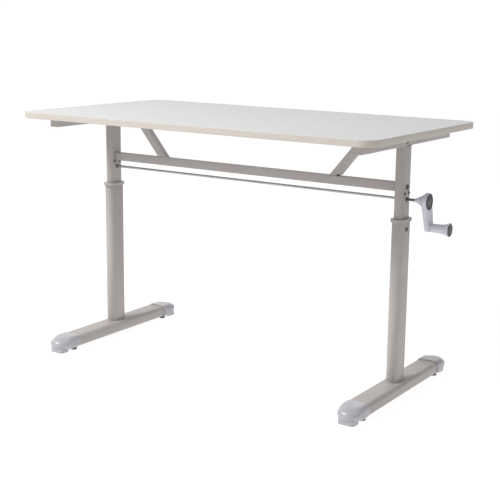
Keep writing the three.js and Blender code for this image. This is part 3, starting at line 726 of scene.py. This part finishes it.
def cross_recess(axis, radius, start, end, centre, turn):
    """The tool that cuts a cross recess into a screw head between start and end."""
    tools = []
    for angle in (turn, turn + math.pi / 2):
        c, s = math.cos(angle), math.sin(angle)
        rings = []
        for along, grow in ((start, 0.45), (end, 1.05)):
            half, thick = radius * grow, radius * 0.20 * (0.7 + 0.3 * grow)
            corners = [(-half, -thick), (half, -thick), (half, thick), (-half, thick)]
            turned = [(c * u - s * v, s * u + c * v) for u, v in corners]
            rings.append([place(p, axis, along, centre) for p in turned])
        tools.append(skin("cross", rings))
    return tools


HEADS = {  # radius of the head, its height, radius of the shank
    "collar": (6.2 * MM, 3 * MM, 2.5 * MM),
    "crossbar": (7.5 * MM, 4.5 * MM, 4 * MM),
    "housing": (4.8 * MM, 2.2 * MM, 1.7 * MM),
    "rail": (6.0 * MM, 2.5 * MM, 2.5 * MM),
}


def screw(name, node, axis_sign, turn):
    """A pan-head screw along x whose head points to axis_sign, put in place of its node."""
    head_radius, head, shank_radius = HEADS[node.split("_")[0]]
    span = Span(node)
    centre = (span.mid.y, span.mid.z)
    outer = span.hi.x if axis_sign > 0 else span.lo.x
    inner = span.lo.x if axis_sign > 0 else span.hi.x
    seat = outer - axis_sign * head
    profile = [
        (0, inner), (shank_radius * 0.8, inner), (shank_radius, inner + axis_sign * 0.6 * MM),
        (shank_radius, seat), (head_radius * 0.98, seat),
    ]
    for k in range(8):
        angle = k / 7 * math.pi / 2
        rise = 0.35 + 0.65 * math.sin(angle)
        profile.append((head_radius * math.cos(angle) ** 0.55 if k < 7 else 0, seat + axis_sign * head * rise))
    body = lathe(name, profile, "x", centre, 40)
    deep = outer - axis_sign * head * 0.62
    above = outer + axis_sign * 0.5 * MM
    carve(body, *cross_recess("x", head_radius * 0.62, deep, above, centre, turn))
    put(body, node, material=SCREW_STEEL_PAINTED_SHADE_AND_HIGHLIGHT)


def build_column(side, sign):
    lower, upper = Span(f"lower_tube_{side}"), Span(f"upper_tube_{side}")
    centre = (lower.mid.x, lower.mid.y)
    shape = (lower.size.x, lower.size.y, lower.size.x / 2)
    outer = tube(f"outer_column_{side}", shape, "z", lower.lo.z, lower.hi.z, centre, WALL, steps=18)
    collar_screw = Span(f"collar_screw_{side}")
    hole_at = (collar_screw.mid.y, collar_screw.mid.z)
    start, end = sorted((centre[0] + sign * 8 * MM, centre[0] + sign * 30 * MM))
    put(carve(outer, rod("x", SCREW_HOLE, start, end, hole_at)), f"lower_tube_{side}")

    shape = (upper.size.x, upper.size.y, upper.size.x / 2)
    inner = tube(f"inner_column_{side}", shape, "z", upper.lo.z, upper.hi.z, centre, WALL, steps=18)
    bush, bolt = Span(f"shaft_bush_{side}"), Span(f"crossbar_bolt_{side}")
    tools = [
        rod("x", BUSH_HOLE, upper.lo.x - PAST, upper.hi.x + PAST, (bush.mid.y, bush.mid.z)),
        rod("x", STEM_HOLE, upper.lo.x - PAST, upper.hi.x + PAST, (bolt.mid.y, bolt.mid.z)),
    ]
    for end_name, _ in ENDS:
        small = Span(f"housing_screw_{side}_{end_name}")
        tools.append(rod("x", SMALL_HOLE, upper.mid.x, upper.hi.x + PAST, (small.mid.y, small.mid.z)))
    put(carve(inner, *tools), f"upper_tube_{side}")

    build_collar(side)
    screw(f"collar_screw_head_{side}", f"collar_screw_{side}", sign, 0.5 + sign * 0.2)
    screw(f"bolt_head_{side}", f"crossbar_bolt_{side}", sign, 0.3 - sign * 0.3)
    for end_name, direction in ENDS:
        node = f"housing_screw_{side}_{end_name}"
        screw(f"small_{node}", node, 1, 0.4 + direction * 0.5)

    r_out, bore, lip = 6.9 * MM, 5.2 * MM, 0.4 * MM
    flange, flange_end = 8.5 * MM, bush.lo.x + 1.3 * MM
    profile = [
        (bore, bush.lo.x), (flange, bush.lo.x), (flange, flange_end), (r_out, flange_end),
        (r_out, bush.hi.x - lip), (r_out - lip, bush.hi.x), (bore + lip, bush.hi.x), (bore, bush.hi.x - lip),
    ]
    piece = lathe(f"bush_{side}", profile, "x", (bush.mid.y, bush.mid.z), 48)
    put(piece, f"shaft_bush_{side}", material=BUSH_BLACK)


def build_collar(side):
    node = f"collar_{side}"
    span, inner = Span(node), Span(f"upper_tube_{side}")
    lower = Span(f"lower_tube_{side}")
    centre = (span.mid.x, span.mid.y)
    top, seat = span.hi.z, lower.hi.z + GAP
    bore_w, bore_h = inner.size.x + 0.4 * MM, inner.size.y + 0.4 * MM

    def ring(width, height, z):
        return [place(p, "z", z, centre) for p in oval(width, height, 18)]

    def at(inset, z):
        return ring(span.size.x - 2 * inset, span.size.y - 2 * inset, z)

    sleeve = (lower.size.x - 3.4 * MM, lower.size.y - 3.4 * MM)
    r = 0.9 * MM
    quarter = [math.radians(d) for d in (0, 30, 60, 90)]
    lip = [at(r * (1 - math.sin(a)), seat + r * (1 - math.cos(a))) for a in quarter]
    lip += [at(r * (1 - math.cos(a)), top - r * (1 - math.sin(a))) for a in quarter]
    rings = [ring(*sleeve, span.lo.z), ring(*sleeve, seat)] + lip
    rings += [
        ring(bore_w + 1.2 * MM, bore_h + 1.2 * MM, top),
        ring(bore_w + 0.3 * MM, bore_h + 0.3 * MM, top - 0.35 * MM),
        ring(bore_w, bore_h, top - 1.0 * MM),
        ring(bore_w, bore_h, span.lo.z),
    ]
    piece = skin(f"collar_ring_{side}", rings, closed=True)
    screw_span = Span(f"collar_screw_{side}")
    sign = 1 if screw_span.mid.x > span.mid.x else -1
    start, end = sorted((span.mid.x + sign * 8 * MM, span.mid.x + sign * 30 * MM))
    hole = rod("x", SCREW_HOLE, start, end, (screw_span.mid.y, screw_span.mid.z))
    slit_at = (span.mid.y + 17 * MM, (top + seat) / 2 + 0.4 * MM)
    slit_shape = (2.2 * MM, 6.5 * MM, 0.5 * MM)
    slit = block("slit", slit_shape, "x", span.hi.x - 2.2 * MM, span.hi.x + 2 * MM, slit_at, lip=0.1 * MM)
    carve(piece, hole, slit)
    put(piece, node)


# ---- top frame -----------------------------------------------------------------------------


def build_rail(side, sign):
    node = f"side_rail_{side}"
    span = Span(node)
    centre = (span.mid.x, span.mid.z)
    shape = (span.size.x, span.size.z, BAR_RADIUS)
    rail = tube(f"rail_{side}", shape, "y", span.lo.y, span.hi.y, centre, WALL, steps=6)
    screw_span = Span(f"rail_screw_{side}")
    outside = span.mid.x + sign * 30 * MM
    start, end = sorted((span.mid.x, outside))
    hole = rod("x", SCREW_HOLE, start, end, (screw_span.mid.y, screw_span.mid.z))
    start, end = sorted((span.mid.x + sign * (span.size.x / 2 - 2.5 * MM), outside))
    slot_at = (span.mid.y, span.lo.z + 0.6 * MM)
    slot = block("slot", (12 * MM, 3.4 * MM, 0.3 * MM), "x", start, end, slot_at, lip=0.1 * MM)
    put(carve(rail, hole, slot), node)
    screw(f"rail_screw_head_{side}", f"rail_screw_{side}", sign, 0.7)
    for end_name, direction in ENDS:
        cap_node = f"rail_cap_{side}_{end_name}"
        cap = Span(cap_node)
        face = cap.hi.y if direction > 0 else cap.lo.y
        back = cap.lo.y if direction > 0 else cap.hi.y
        rail_end = span.hi.y if direction > 0 else span.lo.y

        def ring(inset, y):
            corner = max(BAR_RADIUS - inset, 0.6 * MM)
            outline = rounded(cap.size.x - 2 * inset, cap.size.z - 2 * inset, corner, 6)
            return [place(p, "y", y, (cap.mid.x, cap.mid.z)) for p in outline]

        plug = 1.9 * MM
        rings = [
            ring(plug + 0.5 * MM, back), ring(plug, back + direction * 0.8 * MM),
            ring(plug, rail_end + direction * GAP), ring(0.15 * MM, rail_end + direction * GAP),
            ring(0, rail_end + direction * 0.6 * MM), ring(0, face - direction * 0.7 * MM),
            ring(0.25 * MM, face - direction * 0.2 * MM), ring(0.8 * MM, face), ring(2.4 * MM, face),
            ring(2.9 * MM, face - direction * 0.5 * MM), ring(3.4 * MM, face - direction * 0.6 * MM),
        ]
        put(skin(f"{cap_node}_plug", rings), cap_node)


BEAD_SIDES = 10
BEAD_STEP = 0.9 * MM
BEAD_RIPPLE = 1.1 * MM


def bead(name, body, points, radius, seed, closed=True):
    """A weld bead along points, with the ripples of its passes."""
    rng = random.Random(seed)
    count = len(points)
    rings = []
    total = 0.0
    for i, point in enumerate(points):
        ahead = points[(i + 1) % count] if closed or i < count - 1 else point
        behind = points[i - 1] if closed or i > 0 else point
        along = (ahead - behind).normalized()
        total += (point - behind).length
        thick = radius * (1 + 0.13 * math.sin(total / BEAD_RIPPLE) + rng.uniform(-0.06, 0.06))
        reference = Vector((0, 0, 1)) if abs(along.z) < 0.9 else Vector((1, 0, 0))
        side = reference.cross(along).normalized()
        other = along.cross(side)
        rings.append([point + (side * math.cos(a) + other * math.sin(a)) * thick
                      for a in (2 * math.pi * k / BEAD_SIDES for k in range(BEAD_SIDES))])
    thing = skin(name, rings, closed=closed)
    thing.data.materials.append(WELD)
    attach(thing, body)


def spread(points, step):
    """The same closed path with points a step apart."""
    result = []
    count = len(points)
    for i, here in enumerate(points):
        ahead = points[(i + 1) % count]
        pieces = max(1, round((ahead - here).length / step))
        result += [here.lerp(ahead, k / pieces) for k in range(pieces)]
    return result


def build_welds():
    for side, _ in SIDES:
        lower, upper = Span(f"lower_tube_{side}"), Span(f"upper_tube_{side}")
        outline = oval(lower.size.x + 1.0 * MM, lower.size.y + 1.0 * MM, 14)
        path = [place(p, "z", lower.lo.z + 0.4 * MM, (lower.mid.x, lower.mid.y)) for p in outline]
        bead(f"weld_foot_{side}", "base", spread(path, BEAD_STEP), 1.35 * MM, 11)
        outline = oval(upper.size.x + 0.6 * MM, upper.size.y + 0.6 * MM, 14)
        path = [place(p, "z", upper.hi.z - 0.5 * MM, (upper.mid.x, upper.mid.y)) for p in outline]
        bead(f"weld_rail_{side}", "top_frame", spread(path, BEAD_STEP), 1.1 * MM, 12)


PLATE = 3 * MM  # end plates of the crossbar and head plates of the braces


def build_crossbar():
    span = Span("crossbar")
    centre = (span.mid.y, span.mid.z)
    shape = (span.size.y, span.size.z, BAR_RADIUS)
    bar = tube("cross_tube", shape, "x", span.lo.x, span.hi.x, centre, WALL, steps=6)
    plate_shape = (span.size.y - 1.6 * MM, span.size.z - 1.6 * MM, 1.5 * MM)
    starts = (span.lo.x + 0.1 * MM, span.hi.x - 0.1 * MM - PLATE)
    plates = [block("plate", plate_shape, "x", start, start + PLATE, centre, lip=0.2 * MM) for start in starts]
    weld_on(bar, *plates)
    carve(bar, rod("x", STEM_HOLE, span.lo.x - PAST, span.hi.x + PAST, centre))
    put(bar, "crossbar")


BRACE_SLOPE = math.radians(49.7)
BRACE_DEEP, BRACE_WIDE = 25 * MM, 20 * MM
BRACE_PLATE_HALF = 31 * MM
NOTCH_LONG, NOTCH_HIGH = 7 * MM, 4.5 * MM  # the unwelded corner at a brace's foot


def build_brace(side, sign):
    node = f"brace_{side}"
    span = Span(node)
    crossbar = Span("crossbar")
    plate_mid = (span.hi.x - BRACE_PLATE_HALF) if sign > 0 else (span.lo.x + BRACE_PLATE_HALF)
    bottom, top = span.lo.z, span.hi.z
    up = Vector((sign * math.cos(BRACE_SLOPE), 0, math.sin(BRACE_SLOPE)))
    across = Vector((-sign * math.sin(BRACE_SLOPE), 0, math.cos(BRACE_SLOPE)))
    anchor = Vector((plate_mid, span.mid.y, top))

    def ring(inset, z, radius=BAR_RADIUS):
        points = []
        corner = max(radius - inset, 0.3 * MM)
        for v, u in rounded(BRACE_DEEP - 2 * inset, BRACE_WIDE - 2 * inset, corner, 6):
            base = anchor + across * v + Vector((0, u, 0))
            points.append(base + up * ((z - base.z) / up.z))
        return points

    plate_low = top - PLATE
    bar_top = plate_low + 1 * MM
    rings = [ring(0, bottom), ring(0, bar_top), ring(WALL, bar_top), ring(WALL, bottom)]
    bar = skin(f"slant_{side}", rings, closed=True)
    plate_shape = (2 * BRACE_PLATE_HALF, BRACE_WIDE, 3 * MM)
    plate = block("plate", plate_shape, "z", plate_low, top, (plate_mid, span.mid.y), lip=0.3 * MM)
    weld_on(bar, plate)
    heel = sign * max(sign * p.x for p in ring(0, bottom))
    notch_shape = (NOTCH_LONG + 2 * MM, BRACE_WIDE + 4 * MM, 0.5 * MM)
    notch_at = (heel - sign * 2.5 * MM, span.mid.y)
    notch = block("notch", notch_shape, "z", bottom - 1 * MM, bottom + NOTCH_HIGH, notch_at, lip=0.1 * MM)
    carve(bar, notch)
    put(bar, node)
    foot = [p + Vector((0, 0, 0.1 * MM)) for p in ring(-0.3 * MM, crossbar.hi.z + 0.3 * MM, 2.5 * MM)]
    path = spread(foot, BEAD_STEP)
    inside = [sign * (heel - p.x) < NOTCH_LONG for p in path]
    first = next(k for k in range(len(path)) if inside[k - 1] and not inside[k])
    path = path[first:] + path[:first]
    path = [p for p in path if sign * (heel - p.x) >= NOTCH_LONG]
    bead(f"weld_brace_foot_{side}", "top_frame", path, 1.0 * MM, 21, closed=False)
    head = ring(-0.2 * MM, plate_low - 0.2 * MM, 2.4 * MM)
    bead(f"weld_brace_head_{side}", "top_frame", spread(head, BEAD_STEP), 1.0 * MM, 22)


# ---- drive ---------------------------------------------------------------------------------


SHAFT_FLAT = 3.5 * MM  # from the shaft's axis to its flats


def build_shaft():
    span = Span("drive_shaft")
    corner = SHAFT_FLAT / math.cos(math.pi / 6)
    blunt = 0.45 * MM

    def ring(shrink, x):
        points = []
        for k in range(6):
            angle = (k + 0.5) * math.pi / 3
            here = Vector((math.cos(angle), math.sin(angle))) * corner
            for turn in (-1, 1):
                beside = angle + turn * math.pi / 3
                near = Vector((math.cos(beside), math.sin(beside))) * corner
                point = here + (near - here).normalized() * blunt
                points.append(place(point * shrink, "x", x, (span.mid.y, span.mid.z)))
        return points

    rod_piece = skin("hex_shaft", [
        ring(0.86, span.lo.x), ring(1.0, span.lo.x + 0.6 * MM),
        ring(1.0, span.hi.x - 0.6 * MM), ring(0.86, span.hi.x),
    ])
    put(rod_piece, "drive_shaft", material=SHAFT_STEEL)


HUB_TIERS = (  # radius and distance from the hub's inner end, in mm, from the shaft to the face
    (6.5, 0), (6.5, 10.6), (11.0, 11.2), (11.7, 12), (11.7, 20.6), (16.2, 21.2), (17, 22), (17, 29.0),
    (22.4, 29.7), (23.5, 30.8), (23.5, 41),
)
ARM_LEAN = 0.136  # how far the arm moves outward for each unit down
ARM_THICK = 14 * MM
ARM_TOP_HALF, ARM_END_HALF = 23.2, 17.0  # half widths, mm
ARM_LEAN_FROM, ARM_TAPER_TO, ARM_ROUND_FROM = 11.25, 75, 74  # mm below the hub's axis
ARM_STATIONS = (0.0, 6, ARM_LEAN_FROM, 18, 26, 36, 48, 60, 70, ARM_TAPER_TO, 78, 79.4, 80)
PIN_HEAD_DEEP = 4 * MM


def build_crank():
    node = "crank_arm"
    span, cap = Span(node), Span("crank_hub_cap")
    grip = Span("crank_grip")
    y, z = cap.mid.y, cap.mid.z
    face = cap.hi.x + GAP
    start = span.lo.x
    reach = z - grip.mid.z
    hub_profile = [(0, start)] + [(r * MM, start + x * MM) for r, x in HUB_TIERS] + [(0, face)]
    hub = lathe("hub", soften(hub_profile, 0.35 * MM), "x", (y, z), 72)
    # arm: a tapered bar that leans outward on its way down
    rings = []
    for below in ARM_STATIONS:
        down = below * MM
        shift = ARM_LEAN * max(0.0, down - ARM_LEAN_FROM * MM)
        t = min(1.0, below / ARM_TAPER_TO)
        half = (ARM_TOP_HALF + (ARM_END_HALF - ARM_TOP_HALF) * t) * MM
        if below > ARM_ROUND_FROM:
            half -= 5 * MM * (1 - math.sqrt(max(0.0, 1 - ((below - ARM_ROUND_FROM) / 6.001) ** 2)))
        outline = rounded(ARM_THICK, 2 * half, 3.2 * MM, 5)
        rings.append([Vector((face - ARM_THICK / 2 + shift + u, y + v, z - down)) for u, v in outline])
    arm = skin("arm", rings)
    boss_r, boss_end = 11.5 * MM, grip.lo.x - GAP
    boss_profile = [(0, face), (boss_r, face), (boss_r, boss_end), (0, boss_end)]
    boss = lathe("boss", soften(boss_profile, 0.8 * MM), "x", (y, z - reach), 56)
    weld_on(hub, arm, boss)
    moulded(hub, 0.65 * MM, 2)
    recess = rod("x", cap.size.y / 2 + GAP, cap.lo.x - GAP, face + 30 * MM, (y, z), 96)
    pin_hole = rod("x", STEM_HOLE, face - 4 * MM, face + 40 * MM, (y, z - reach))
    corner = (SHAFT_FLAT + GAP) / math.cos(math.pi / 6)
    angles = [(k + 0.5) * math.pi / 3 for k in range(6)]
    hexagon = [(corner * math.cos(a), corner * math.sin(a)) for a in angles]
    socket_ends = (start - 10 * MM, cap.lo.x - 6 * MM)
    socket = skin("socket", [[place(p, "x", x, (y, z)) for p in hexagon] for x in socket_ends])
    carve(hub, recess, pin_hole, socket)
    hub.name = "crank_casting"
    put(hub, node, material=CRANK_GREY_PAINTED_LIGHT)

    r = cap.size.y / 2
    x0, x1 = cap.lo.x, cap.hi.x
    profile = [
        (0, x0), (r, x0), (r, x1 - 0.3 * MM), (r - 0.8 * MM, x1), (r * 0.93, x1 - 0.1 * MM),
        (r * 0.91, x1 - 1.4 * MM), (r * 0.82, x1 - 1.4 * MM), (r * 0.79, x1 - 0.4 * MM), (0, x1 - 0.05 * MM),
    ]
    put(lathe("hub_disc", soften(profile, 0.25 * MM, 3), "x", (y, z), 96), "crank_hub_cap")


GRIP_STATIONS = 40


def build_grip():
    grip, cap = Span("crank_grip"), Span("grip_cap")
    pin = Span("grip_pin")
    centre = (grip.mid.y, grip.mid.z)
    x0, x1 = grip.lo.x, grip.hi.x
    length = x1 - x0
    outer = []
    for k in range(1, GRIP_STATIONS):
        t = k / GRIP_STATIONS
        flare = 12.0 + 1.2 * t + 7.2 * max(0.0, (t - 0.42) / 0.58) ** 2.3
        outer.append((min(flare, 19.7) * MM, x0 + length * t))
    cap_r = cap.size.y / 2 + GAP
    cap_floor = cap.lo.x - GAP
    head_r, head_floor = 7.2 * MM, pin.hi.x - 4.3 * MM
    bore = 4.35 * MM
    profile = [(bore, x0 + 0.4 * MM), (bore + 0.5 * MM, x0), (11.0 * MM, x0), (11.7 * MM, x0 + 0.25 * MM)]
    profile += outer
    profile += [
        (19.6 * MM, x1 - 0.8 * MM), (19.2 * MM, x1 - 0.15 * MM), (18.6 * MM, x1),
        (cap_r + 0.25 * MM, x1), (cap_r, x1 - 0.3 * MM), (cap_r, cap_floor), (head_r, cap_floor),
        (head_r, head_floor), (bore, head_floor),
    ]
    body = lathe("grip_body", profile, "x", centre, 72)
    put(body, "crank_grip", material=CRANK_GREY_PAINTED_LIGHT)
    r = cap.size.y / 2
    c0, c1 = cap.lo.x, cap.hi.x
    profile = [
        (0, c0), (r, c0), (r, c1 - 0.9 * MM), (r - 0.8 * MM, c1 - 0.4 * MM), (r * 0.83, c1 - 0.45 * MM),
        (r * 0.80, c1 - 0.9 * MM), (r * 0.75, c1 - 0.9 * MM), (r * 0.72, c1 - 0.35 * MM),
        (r * 0.4, c1), (0, c1),
    ]
    put(lathe("grip_disc", soften(profile, 0.25 * MM, 3), "x", centre, 72), "grip_cap")
    shank, head_r, head_from = 4 * MM, 6.9 * MM, pin.hi.x - PIN_HEAD_DEEP
    profile = [
        (0, pin.lo.x), (shank, pin.lo.x), (shank, head_from), (head_r, head_from), (head_r, pin.hi.x),
        (0, pin.hi.x),
    ]
    put(lathe("pin_body", soften(profile, 0.4 * MM, 3), "x", (pin.mid.y, pin.mid.z), 40), "grip_pin")


# ---- build ---------------------------------------------------------------------------------

build_top()
build_feet()
for side_name, side_sign in SIDES:
    build_column(side_name, side_sign)
    build_rail(side_name, side_sign)
    build_brace(side_name, side_sign)
build_crossbar()
build_welds()
build_shaft()
build_crank()
build_grip()


# ---- floor, light and camera ---------------------------------------------------------------

scene = bpy.context.scene
scene.view_settings.view_transform = "Standard"
scene.view_settings.look = "None"
scene.view_settings.exposure = 0.0
scene.view_settings.gamma = 1.0


FLOOR_HALF, FLOOR_Z = 9.0, -0.5 * MM
FLOOR_GLOW = 0.86  # most of the floor's brightness, so that it comes out white


def build_floor():
    g = Graph("floor_pale")
    color = g.ramp(g.noise(2.0, 2.0), (0.3, (0.27, 0.27, 0.27)), (0.7, (0.29, 0.29, 0.29)))
    material = g.finish(color, 0.85)
    g.shader.inputs["Emission Color"].default_value = (1.0, 1.0, 1.0, 1.0)
    g.shader.inputs["Emission Strength"].default_value = FLOOR_GLOW
    corners = [(-1, -1), (1, -1), (1, 1), (-1, 1)]
    floor = make("floor", [(FLOOR_HALF * x, FLOOR_HALF * y, FLOOR_Z) for x, y in corners], [(0, 1, 2, 3)])
    floor.data.materials.append(material)


def area_light(name, place_at, aim, size, power):
    lamp = bpy.data.lights.new(name, "AREA")
    lamp.shape = "RECTANGLE"
    lamp.size, lamp.size_y = size
    lamp.energy = power
    thing = bpy.data.objects.new(name, lamp)
    scene.collection.objects.link(thing)
    thing.location = place_at
    thing.rotation_euler = (Vector(aim) - Vector(place_at)).to_track_quat("-Z", "Y").to_euler()


BACKDROP_SIDE = (-0.5528, 0.8333, 0.0)  # where the bright backdrop stands in the room
BACKDROP_FROM, BACKDROP_FULL = 0.62, 0.86  # cosine of the angle from its middle
ROOM_GLOW, BACKDROP_GLOW = 0.35, 1.06
LOW_MIDDLE = (0, 0, 0.1)
RIGHT_FRONT_CAP = (0.5, -0.25, 0.03)


def build_light():
    world = bpy.data.worlds.new("studio")
    scene.world = world
    world.use_nodes = True
    tree = world.node_tree
    backdrop = tree.nodes["Background"]
    backdrop.inputs["Color"].default_value = (1.0, 1.0, 1.0, 1.0)
    toward = tree.nodes.new("ShaderNodeVectorMath")
    toward.operation = "DOT_PRODUCT"
    toward.inputs[1].default_value = BACKDROP_SIDE
    tree.links.new(tree.nodes.new("ShaderNodeTexCoord").outputs["Generated"], toward.inputs[0])
    glow = tree.nodes.new("ShaderNodeMapRange")
    glow.interpolation_type = "SMOOTHSTEP"
    for socket, number in zip(glow.inputs[1:5], (BACKDROP_FROM, BACKDROP_FULL, ROOM_GLOW, BACKDROP_GLOW)):
        socket.default_value = number
    tree.links.new(toward.outputs["Value"], glow.inputs[0])
    tree.links.new(glow.outputs["Result"], backdrop.inputs["Strength"])
    area_light("front", (-1.6, -2.2, 3.2), LOW_MIDDLE, (1.6, 0.8), 140)
    area_light("left_front", (-0.3, -3.0, 2.3), RIGHT_FRONT_CAP, (0.4, 0.4), 9)
    area_light("right", (3.3, 0.0, 2.1), RIGHT_FRONT_CAP, (0.4, 0.4), 9)


CAMERA_YAW, CAMERA_PITCH, CAMERA_ROLL = math.radians(33.56), math.radians(11.38), math.radians(0.77)
CAMERA_FROM_FOOT = Vector((1.7816, -2.5708, 1.0435))  # from the floor under the middle of the top
CAMERA_LENS = 76.23
CAMERA_SHIFT = (-0.028, -0.040)  # the photograph's framing


def build_camera():
    top = Span("tabletop")
    foot = Vector((top.mid.x, top.mid.y, 0.0))
    yaw, pitch, roll = CAMERA_YAW, CAMERA_PITCH, CAMERA_ROLL
    level = math.cos(pitch)
    forward = Vector((-math.sin(yaw) * level, math.cos(yaw) * level, -math.sin(pitch)))
    right = forward.cross(Vector((0, 0, 1))).normalized()
    up = right.cross(forward)
    right, up = (
        right * math.cos(roll) + up * math.sin(roll),
        up * math.cos(roll) - right * math.sin(roll),
    )
    data = bpy.data.cameras.new("camera")
    data.sensor_width = 36.0
    data.lens = CAMERA_LENS
    data.shift_x, data.shift_y = CAMERA_SHIFT
    data.clip_end = 100.0
    camera = bpy.data.objects.new("camera", data)
    scene.collection.objects.link(camera)
    turn = Matrix((right, up, -forward)).transposed().to_4x4()
    camera.matrix_world = Matrix.Translation(foot + CAMERA_FROM_FOOT) @ turn
    scene.camera = camera


build_floor()
build_light()
build_camera()
